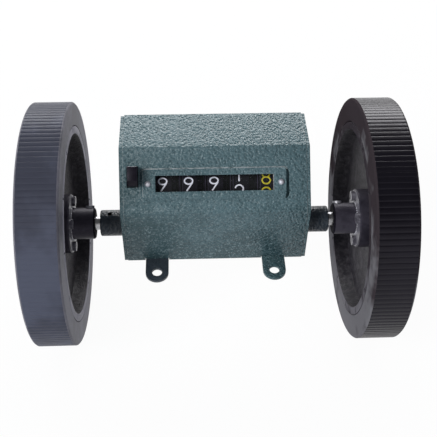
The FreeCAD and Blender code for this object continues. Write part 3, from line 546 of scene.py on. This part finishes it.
def wear(obj, *names):
    """Gives an object its finishes in place of any that it has."""
    if obj.data.materials:  # clearing an empty list would reset the faces' finishes
        obj.data.materials.clear()
    for name in names:
        obj.data.materials.append(FINISHES[name])


# Mesh helpers

def add_piece(name, form, body, finishes, replaced=(), crease=CREASE):
    """A finished piece from a bmesh, riding on its body. Edges sharper than crease degrees stay sharp."""
    mesh = bpy.data.meshes.new(name)
    form.to_mesh(mesh)
    form.free()
    piece = bpy.data.objects.new(name, mesh)
    bpy.context.scene.collection.objects.link(piece)
    mesh.shade_smooth()
    mesh.set_sharp_from_angle(angle=math.radians(crease))
    wear(piece, *finishes)
    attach(piece, body)
    if replaced:
        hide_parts(*replaced)
    return piece


def merged_copy(node):
    """The node's solid as one clean mesh with flat faces rejoined."""
    form = bmesh.new()
    form.from_mesh(frame["nodes"][node].data)
    bmesh.ops.remove_doubles(form, verts=form.verts, dist=WELD)
    bmesh.ops.dissolve_limit(
        form, angle_limit=math.radians(FLAT_WITHIN), verts=form.verts, edges=form.edges,
        use_dissolve_boundaries=False,
    )
    return form


def break_edges(form, width):
    """Rounds the sharp edges of a solid by a small width."""
    edges = [
        edge for edge in form.edges
        if len(edge.link_faces) == 2 and edge.calc_face_angle() > math.radians(SHARP_CORNER)
    ]
    bmesh.ops.bevel(
        form, geom=edges, offset=width * MM, offset_type="OFFSET", segments=2, profile=0.5,
        affect="EDGES", clamp_overlap=True, material=-1,
    )
    form.normal_update()
    return form


def from_axle(point):
    """Distance of a point from the axle's middle line."""
    return math.hypot(point.y - AXLE.y, point.z - AXLE.z) / MM


def above_slope(point):
    """Height of a point above the slope that the window and the key are in."""
    return (point.z - SLOPE_FOOT.z - point.y + SLOPE_FOOT.y) * ROOT_HALF / MM


def up_slope(point):
    """Distance of a point up the slope from its foot."""
    return (point.z - SLOPE_FOOT.z + point.y - SLOPE_FOOT.y) * ROOT_HALF / MM


def side_word(side):
    return "left" if side < 0 else "right"


def full_turn(form, geometry, steps, centre=AXLE, duplicate=False):
    """Spins geometry once round a line along X, as a surface or as separate copies."""
    bmesh.ops.spin(
        form, geom=geometry, cent=centre, axis=(1, 0, 0), dvec=(0, 0, 0), angle=2 * math.pi, steps=steps,
        use_merge=not duplicate, use_normal_flip=False, use_duplicate=duplicate,
    )


# Wheels and hubs

def make_tyre(side):
    """A tyre as one rib repeated round the axle."""
    word = side_word(side)
    form = bmesh.new()
    columns = len(TYRE_SECTION) - 1
    rows = len(RIB_SECTION) - 1
    bmesh.ops.create_grid(form, x_segments=columns, y_segments=rows, size=0.5)
    for vert in form.verts:
        x, radius, share = TYRE_SECTION[round((vert.co.x + 0.5) * columns)]
        turn, sunk = RIB_SECTION[round((vert.co.y + 0.5) * rows)]
        angle = turn * 2 * math.pi / RIB_COUNT
        reach = (radius - RIB_DEPTH * share * sunk) * MM
        vert.co = (side * x * MM, AXLE.y + reach * math.sin(angle), AXLE.z + reach * math.cos(angle))
    full_turn(form, form.verts[:] + form.edges[:] + form.faces[:], RIB_COUNT, duplicate=True)
    bmesh.ops.remove_doubles(form, verts=form.verts, dist=TYRE_WELD)
    bmesh.ops.recalc_face_normals(form, faces=form.faces)
    form.normal_update()
    for face in form.faces:
        face.material_index = 1 if abs(face.normal.x) > SIDE_FACING else 0
    # Each tyre wears its side's copies of the rubber, lighter on the left and darker on the right as
    # painted light and shade.
    add_piece(
        word + "_ribbed_tyre", form, "wheel_set", [word + "_rubber", word + "_side"],
        [word + "_tyre"], RIB_CREASE,
    )


def make_wheel(side):
    """A cast wheel whose rim has turned faces. The floors of the rim's slots stay as cast."""
    word = side_word(side)
    form = break_edges(merged_copy(word + "_wheel_disc"), WHEEL_EDGE)
    inner_x = min(abs(vert.co.x) for vert in form.verts)
    outer_x = max(abs(vert.co.x) for vert in form.verts)
    for face in form.faces:
        at_rim = min(from_axle(vert.co) for vert in face.verts) > RIM_INSIDE
        span = [abs(vert.co.x) for vert in face.verts]
        outermost = max(span) > outer_x - FACE_SLACK or min(span) < inner_x + FACE_SLACK
        face.material_index = 1 if at_rim and outermost and abs(face.normal.x) > SIDE_FACING else 0
    # The rim's turned faces wear its side's painted-light copy.
    add_piece(
        word + "_cast_wheel", form, "wheel_set", ["cast_black", word + "_rim"],
        [word + "_wheel_disc"],
    )


def make_hub(side):
    """A hub with its own finishes on the flange's front and on the barrel's end, which is darker as painted
    shade.
    """
    word = side_word(side)
    form = break_edges(merged_copy(word + "_hub"), HUB_EDGE)
    for face in form.faces:
        nearest = min(from_axle(vert.co) for vert in face.verts)
        front = max(abs(vert.co.x) for vert in face.verts) < (FLANGE_FACE_X + FLANGE_SLACK) * MM
        if front and abs(face.normal.x) > END_FACING:
            face.material_index = 1 if nearest > BARREL_RADIUS - BARREL_SLACK else 2
    add_piece(
        word + "_turned_hub", form, "wheel_set", ["black_steel", "flange_face", "end_painted_shade"],
        [word + "_hub"],
    )


def make_beads(side):
    """A ring of small beads on the flange, round the root of the barrel."""
    form = bmesh.new()
    bmesh.ops.create_icosphere(form, subdivisions=2, radius=BEAD_RADIUS * MM)
    first = Vector((side * (FLANGE_FACE_X - BEAD_SUNK), 0, BARREL_RADIUS + BEAD_OUT)) * MM + AXLE
    bmesh.ops.translate(form, verts=form.verts, vec=first)
    full_turn(form, form.verts[:] + form.edges[:] + form.faces[:], BEAD_COUNT, duplicate=True)
    bmesh.ops.recalc_face_normals(form, faces=form.faces)
    add_piece(side_word(side) + "_barrel_beads", form, "wheel_set", ["set_screw"])


# Housing

def housing_finish(face):
    """Which of the housing's finishes a face has: 0 enamel, 1 painted highlight on edges and on the pad's
    top and left side, 2 painted highlight on the window's right wall, 3 painted shadow along the pad's
    right side.
    """
    heights = [above_slope(vert.co) for vert in face.verts]
    middle = face.calc_center_median()
    facing = face.normal.dot(OUT_OF_SLOPE)
    on_pad = min(heights) > PAD_SIDE_FLOOR and PAD_SIDE_RISE < max(heights) < PAD_PLATEAU[1]
    # On the pad: painted highlight along its top band and left side, painted shadow along its right side.
    if on_pad and facing < PAD_SIDE_FACING[1]:
        at_top = up_slope(middle) > PAD_TOP - PAD_TOP_BAND
        if at_top or middle.x < PAD_LEFT + PAD_SIDE_WIDTH and facing > PAD_SIDE_FACING[0]:
            return 1
        if middle.x > PAD_RIGHT - PAD_SIDE_WIDTH:
            return 3
    # Painted highlight on the window's right wall.
    at_window = face.normal.x < WINDOW_SIDE_FACING and min(heights) > -WINDOW_DEPTH
    if at_window and middle.x > WINDOW_RIGHT_PART:
        return 2
    # Painted highlight on the shell's ends and along its back top edge.
    at_end = abs(middle.x) > SHELL_END_X - END_SLACK
    at_back = middle.z > SHELL_TOP_Z - BACK_SLACK and middle.y > SHELL_BACK_Y - BACK_SLACK
    return 1 if at_end or at_back else 0


def make_housing():
    """The folded shell, with a steeper upper side to its pad."""
    form = merged_copy("housing_shell")
    for vert in form.verts:
        on_plateau = PAD_PLATEAU[0] < above_slope(vert.co) < PAD_PLATEAU[1]
        if on_plateau and up_slope(vert.co) > PAD_TOP - PAD_UPPER_PART:
            vert.co += UP_SLOPE * PAD_STEEPER * MM
    break_edges(form, SHELL_EDGE)
    for face in form.faces:
        face.material_index = housing_finish(face)
    add_piece(
        "hammered_housing", form, "housing",
        ["green_paint", "edge_painted_highlight", "window_wall_highlight", "pad_painted_shadow"], ["housing_shell"],
    )


def make_cover(side):
    """An end cover whose bearing boss is darker."""
    word = side_word(side)
    form = break_edges(merged_copy(word + "_end_cover"), COVER_EDGE)
    for face in form.faces:
        face.material_index = 1 if abs(face.calc_center_median().x) > COVER_OUTER_X + BOSS_SLACK else 0
    add_piece(
        word + "_hammered_cover", form, "housing", ["green_paint", "dark_enamel_and_painted_shadow"],
        [word + "_end_cover"],
    )


def make_base():
    """The plate with its four ears, of which the left front one is darker as painted shadow of the left
    wheel.
    """
    form = merged_copy("base_plate")
    bmesh.ops.bisect_plane(
        form, geom=form.verts[:] + form.edges[:] + form.faces[:], dist=WELD / 2,
        plane_co=(0, EAR_START_Y, 0), plane_no=(0, 1, 0),
    )
    break_edges(form, BASE_EDGE)
    # The left front ear gets the darker enamel as painted shadow.
    for face in form.faces:
        middle = face.calc_center_median()
        face.material_index = 1 if middle.x < 0 and middle.y < SLOPE_FOOT.y else 0
    add_piece(
        "hammered_base", form, "housing", ["green_paint", "dark_enamel_and_painted_shadow"], ["base_plate"]
    )


def make_key():
    """The reset key, its cap drawn in towards the window, with a painted highlight along its upper bevel.
    """
    form = break_edges(merged_copy("reset_key"), KEY_EDGE)
    for vert in form.verts:
        if above_slope(vert.co) > KEY_CAP_START:
            along = (vert.co.y - KEY_MIDDLE.y + vert.co.z - KEY_MIDDLE.z) / 2
            vert.co.x = KEY_MIDDLE.x + KEY_SHIFT + (vert.co.x - KEY_MIDDLE.x) * KEY_NARROWER
            vert.co.y -= along * KEY_SHORTER
            vert.co.z -= along * KEY_SHORTER
    form.normal_update()
    top = max(above_slope(vert.co) for vert in form.verts)
    for face in form.faces:
        upwards = face.normal.dot(UP_SLOPE)
        near_top = above_slope(face.calc_center_median()) > top - KEY_BEVEL_HEIGHT
        bevel = KEY_BEVEL_FACING[0] < upwards < KEY_BEVEL_FACING[1]
        face.material_index = 1 if bevel and near_top else 0
    add_piece("moulded_key", form, "key", ["key_black", "key_bevel_highlight"], ["reset_key"])


def make_key_coil():
    """The key's return spring."""
    into = -OUT_OF_SLOPE
    across = Vector((1, 0, 0))
    start = KEY_MIDDLE + into * COIL_START * MM
    form = bmesh.new()
    bmesh.ops.create_circle(form, cap_ends=True, segments=COIL_SIDES, radius=COIL_WIRE / 2 * MM)
    first = start + across * COIL_RADIUS * MM + into * COIL_WIRE / 2 * MM
    upright = Matrix((across, into, across.cross(into))).transposed().to_4x4()
    bmesh.ops.transform(form, matrix=Matrix.Translation(first) @ upright, verts=form.verts)
    steps = COIL_TURNS * COIL_STEPS
    bmesh.ops.spin(
        form, geom=form.verts[:] + form.edges[:] + form.faces[:], cent=start, axis=into,
        dvec=into * (COIL_LENGTH - COIL_WIRE) / steps * MM, angle=COIL_TURNS * 2 * math.pi, steps=steps,
        use_merge=False, use_normal_flip=False, use_duplicate=False,
    )
    bmesh.ops.recalc_face_normals(form, faces=form.faces)
    piece = add_piece(
        "key_coil_spring", form, "housing", ["plate_steel"], ["key_spring"], COIL_CREASE
    )
    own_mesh(piece)


# Digits on the number drums

def arc(x, y, across, up, start, end, steps=24):
    """Points on an oval about (x, y), by angle in degrees."""
    turns = [math.radians(start + (end - start) * i / steps) for i in range(steps + 1)]
    return [(x + across * math.cos(turn), y + up * math.sin(turn)) for turn in turns]


# The lines of each digit from 0 to 9, about its middle
DIGIT_STROKES = (
    [arc(0, 0, 1.7, 2.65, 90, 450, 40)],
    [[(-0.85, 1.75), (0, 2.65), (0, -2.65)]],
    [arc(0, 1.0, 1.7, 1.65, 170, -38) + [(-1.7, -2.65), (1.7, -2.65)]],
    [arc(0, 1.35, 1.4, 1.3, 150, -90), arc(0, -1.15, 1.65, 1.5, 90, -150)],
    [[(0.75, -2.65), (0.75, 2.65), (-1.7, -1.1), (1.7, -1.1)]],
    [[(1.4, 2.65), (-1.2, 2.65), (-1.5, 0.2)] + arc(0, -0.95, 1.7, 1.7, 138, -150)],
    [arc(0, -1.3, 1.72, 1.35, 0, 360, 36), [(-1.72, -1.2), (-1.5, -0.35), (0.85, 2.95)]],
    [[(-1.7, 2.65), (1.7, 2.65), (-0.5, -2.65)]],
    [arc(0, 1.38, 1.45, 1.27, 0, 360, 36), arc(0, -1.2, 1.72, 1.45, 0, 360, 36)],
    [arc(0, 1.3, 1.72, 1.35, 0, 360, 36), [(1.72, 1.2), (1.5, 0.35), (-0.85, -2.95)]],
)


def even_points(stroke):
    """The stroke's points with its long straight runs cut short, so that they can follow the drum."""
    points = [stroke[0]]
    for (x0, y0), (x1, y1) in zip(stroke, stroke[1:]):
        count = max(1, math.ceil(math.hypot(x1 - x0, y1 - y0) / STROKE_STEP))
        points += [(x0 + (x1 - x0) * i / count, y0 + (y1 - y0) * i / count) for i in range(1, count + 1)]
    return points


def stroke_mesh(strokes):
    """The strokes of one digit as round-ended tubes in the XY plane, in millimetres."""
    line = bpy.data.curves.new("stroke", "CURVE")
    line.dimensions = "3D"
    line.bevel_depth = STROKE / 2
    line.bevel_resolution = 2
    line.use_fill_caps = True
    for stroke in strokes:
        spline = line.splines.new("POLY")
        closed = math.dist(stroke[0], stroke[-1]) < CLOSED_WITHIN
        points = even_points(stroke)[:-1] if closed else even_points(stroke)
        spline.points.add(len(points) - 1)
        for spot, (x, y) in zip(spline.points, points):
            spot.co = (x, y, 0, 1)
        spline.use_cyclic_u = closed
    holder = bpy.data.objects.new("stroke", line)
    mesh = bpy.data.meshes.new_from_object(holder)
    bpy.data.objects.remove(holder)
    bpy.data.curves.remove(line)
    return mesh


def make_digits(index):
    """The ten digits of a drum, wrapped round its rim."""
    form = bmesh.new()
    for digit, strokes in enumerate(DIGIT_STROKES):
        mesh = stroke_mesh(strokes)
        before = len(form.verts)
        form.from_mesh(mesh)
        bpy.data.meshes.remove(mesh)
        form.verts.ensure_lookup_table()
        for vert in form.verts[before:]:
            x, y, z = vert.co
            reach = DRUM_RADIUS + z / (STROKE / 2) * INK_THICKNESS
            turn = SLOPE_ANGLE + DIGIT_ANGLE * (digit - SHOWN[index]) - y / DRUM_RADIUS
            vert.co = (
                (DIGIT_PLACES[index] + x) * MM,
                DRUM_AXIS.y + reach * math.cos(turn) * MM,
                DRUM_AXIS.z + reach * math.sin(turn) * MM,
            )
    bmesh.ops.recalc_face_normals(form, faces=form.faces)
    name = DRUM_NAMES[index]
    ink = "yellow_ink" if name == "tenths" else "white_ink"
    add_piece(name + "_digits", form, name + "_drum_body", [ink])


def make_drum_bands(index):
    """Two narrow raised bands beside a drum's digits."""
    form = bmesh.new()
    for shift in BAND_SHIFTS:
        start = DIGIT_PLACES[index] + shift
        corners = [
            form.verts.new(((start + x) * MM, DRUM_AXIS.y, DRUM_AXIS.z + (DRUM_RADIUS + lift) * MM))
            for x, lift in BAND_SECTION
        ]
        section = [form.edges.new(pair) for pair in zip(corners, corners[1:])]
        full_turn(form, corners + section, BAND_STEPS, centre=DRUM_AXIS)
    bmesh.ops.remove_doubles(form, verts=form.verts, dist=WELD)
    bmesh.ops.recalc_face_normals(form, faces=form.faces)
    name = DRUM_NAMES[index]
    add_piece(name + "_bands", form, name + "_drum_body", ["drum_edge"])


# Every CAD node gets the finish of its slot, or one of its own

NODE_FINISHES = {
    "left_side_plate": "plate_steel", "right_side_plate": "plate_steel", "key_guide": "plate_steel",
    "flange_screws": "flange_face", "hub_set_screws": "set_screw",
    "left_tyre": "left_rubber", "right_tyre": "right_rubber",
}
slots = {row["node"]: row["material_slot"] for row in frame["record"]["subparts"]}
for name, node in frame["nodes"].items():
    wear(node, NODE_FINISHES.get(name, slots[name]))

for side in (-1, 1):
    make_tyre(side)
    make_wheel(side)
    make_hub(side)
    make_beads(side)
    make_cover(side)
make_housing()
make_base()
make_key()
make_key_coil()
for index in range(len(DRUM_NAMES)):
    make_digits(index)
    make_drum_bands(index)


# Stage

def seen_directly(tree):
    """One for what the camera sees, also in a mirror or through glass."""
    path = put(tree, "LightPath")
    sight = plus(tree, path.outputs["Is Camera Ray"], path.outputs["Is Glossy Ray"])
    return remap(tree, plus(tree, sight, path.outputs["Is Transmission Ray"]), 0.0, 1.0)


def make_floor():
    """A pale floor that the camera and mirrors see nearly white."""
    form = bmesh.new()
    bmesh.ops.create_grid(form, x_segments=1, y_segments=1, size=FLOOR_REACH)
    bmesh.ops.translate(form, verts=form.verts, vec=(0, 0, FLOOR_Z))
    mesh = bpy.data.meshes.new("floor")
    form.to_mesh(mesh)
    form.free()
    floor = bpy.data.objects.new("floor", mesh)
    bpy.context.scene.collection.objects.link(floor)
    material = bpy.data.materials.new("pale_floor")
    material.use_nodes = True
    tree = material.node_tree
    shader = tree.nodes["Principled BSDF"]
    shader.inputs["Base Color"].default_value = FLOOR_COLOUR
    shader.inputs["Roughness"].default_value = 0.9
    shader.inputs["Specular IOR Level"].default_value = 0.1
    glow = put(tree, "Emission", sockets={"Color": (1, 1, 1, 1), "Strength": 1.0})
    share = times(tree, seen_directly(tree), FLOOR_GLOW)
    blend = put(tree, "MixShader")
    wire(
        tree, (share, blend.inputs[0]), (shader.outputs[0], blend.inputs[1]),
        (glow.outputs[0], blend.inputs[2]),
        (blend.outputs[0], tree.nodes["Material Output"].inputs["Surface"]),
    )
    mesh.materials.append(material)


def make_world():
    """White all round where it is seen, with a darker ceiling overhead, and a dim room as a light."""
    world = bpy.data.worlds.new("studio")
    bpy.context.scene.world = world
    world.use_nodes = True
    tree = world.node_tree
    room = tree.nodes["Background"]
    room.inputs["Color"].default_value = ROOM_COLOUR
    room.inputs["Strength"].default_value = ROOM_STRENGTH
    white = put(tree, "Background", sockets={"Color": (1, 1, 1, 1)})
    height = put(tree, "SeparateXYZ")
    wire(tree, (put(tree, "TexCoord").outputs["Generated"], height.inputs[0]))
    fading = remap(tree, height.outputs["Z"], CEILING_START, CEILING_FULL, 1.0, CEILING_STRENGTH)
    wire(tree, (fading, white.inputs["Strength"]))
    blend = put(tree, "MixShader")
    wire(
        tree, (seen_directly(tree), blend.inputs[0]), (room.outputs[0], blend.inputs[1]),
        (white.outputs[0], blend.inputs[2]),
        (blend.outputs[0], tree.nodes["World Output"].inputs["Surface"]),
    )


def add_lamp(name, place, target, size, power, colour):
    data = bpy.data.lights.new(name, "AREA")
    data.shape = "RECTANGLE"
    data.size, data.size_y = size
    data.energy = power
    data.color = colour
    lamp = bpy.data.objects.new(name, data)
    lamp.location = place
    lamp.rotation_mode = "QUATERNION"
    lamp.rotation_quaternion = (Vector(target) - Vector(place)).to_track_quat("-Z", "Y")
    bpy.context.scene.collection.objects.link(lamp)


def add_camera():
    """The photograph's view: place, yaw, pitch and roll."""
    yaw, pitch, roll = (math.radians(turn) for turn in CAMERA_TURNS)
    ahead = Vector((math.sin(yaw) * math.cos(pitch), math.cos(yaw) * math.cos(pitch), -math.sin(pitch)))
    level = Vector((math.cos(yaw), -math.sin(yaw), 0))
    upright = level.cross(ahead)
    right = math.cos(roll) * level + math.sin(roll) * upright
    up = -math.sin(roll) * level + math.cos(roll) * upright
    data = bpy.data.cameras.new("camera")
    data.sensor_width = SENSOR_WIDTH
    data.lens = CAMERA_FOCUS_PIXELS / PICTURE_PIXELS * SENSOR_WIDTH
    data.clip_start = 0.01
    data.clip_end = 20.0
    camera = bpy.data.objects.new("camera", data)
    turned = Matrix((right, up, -ahead)).transposed().to_4x4()
    camera.matrix_world = Matrix.Translation(CAMERA_PLACE) @ turned
    bpy.context.scene.collection.objects.link(camera)
    bpy.context.scene.camera = camera


make_floor()
make_world()
for lamp in LAMPS:
    add_lamp(*lamp)
add_camera()
bpy.context.scene.view_settings.view_transform = "Standard"
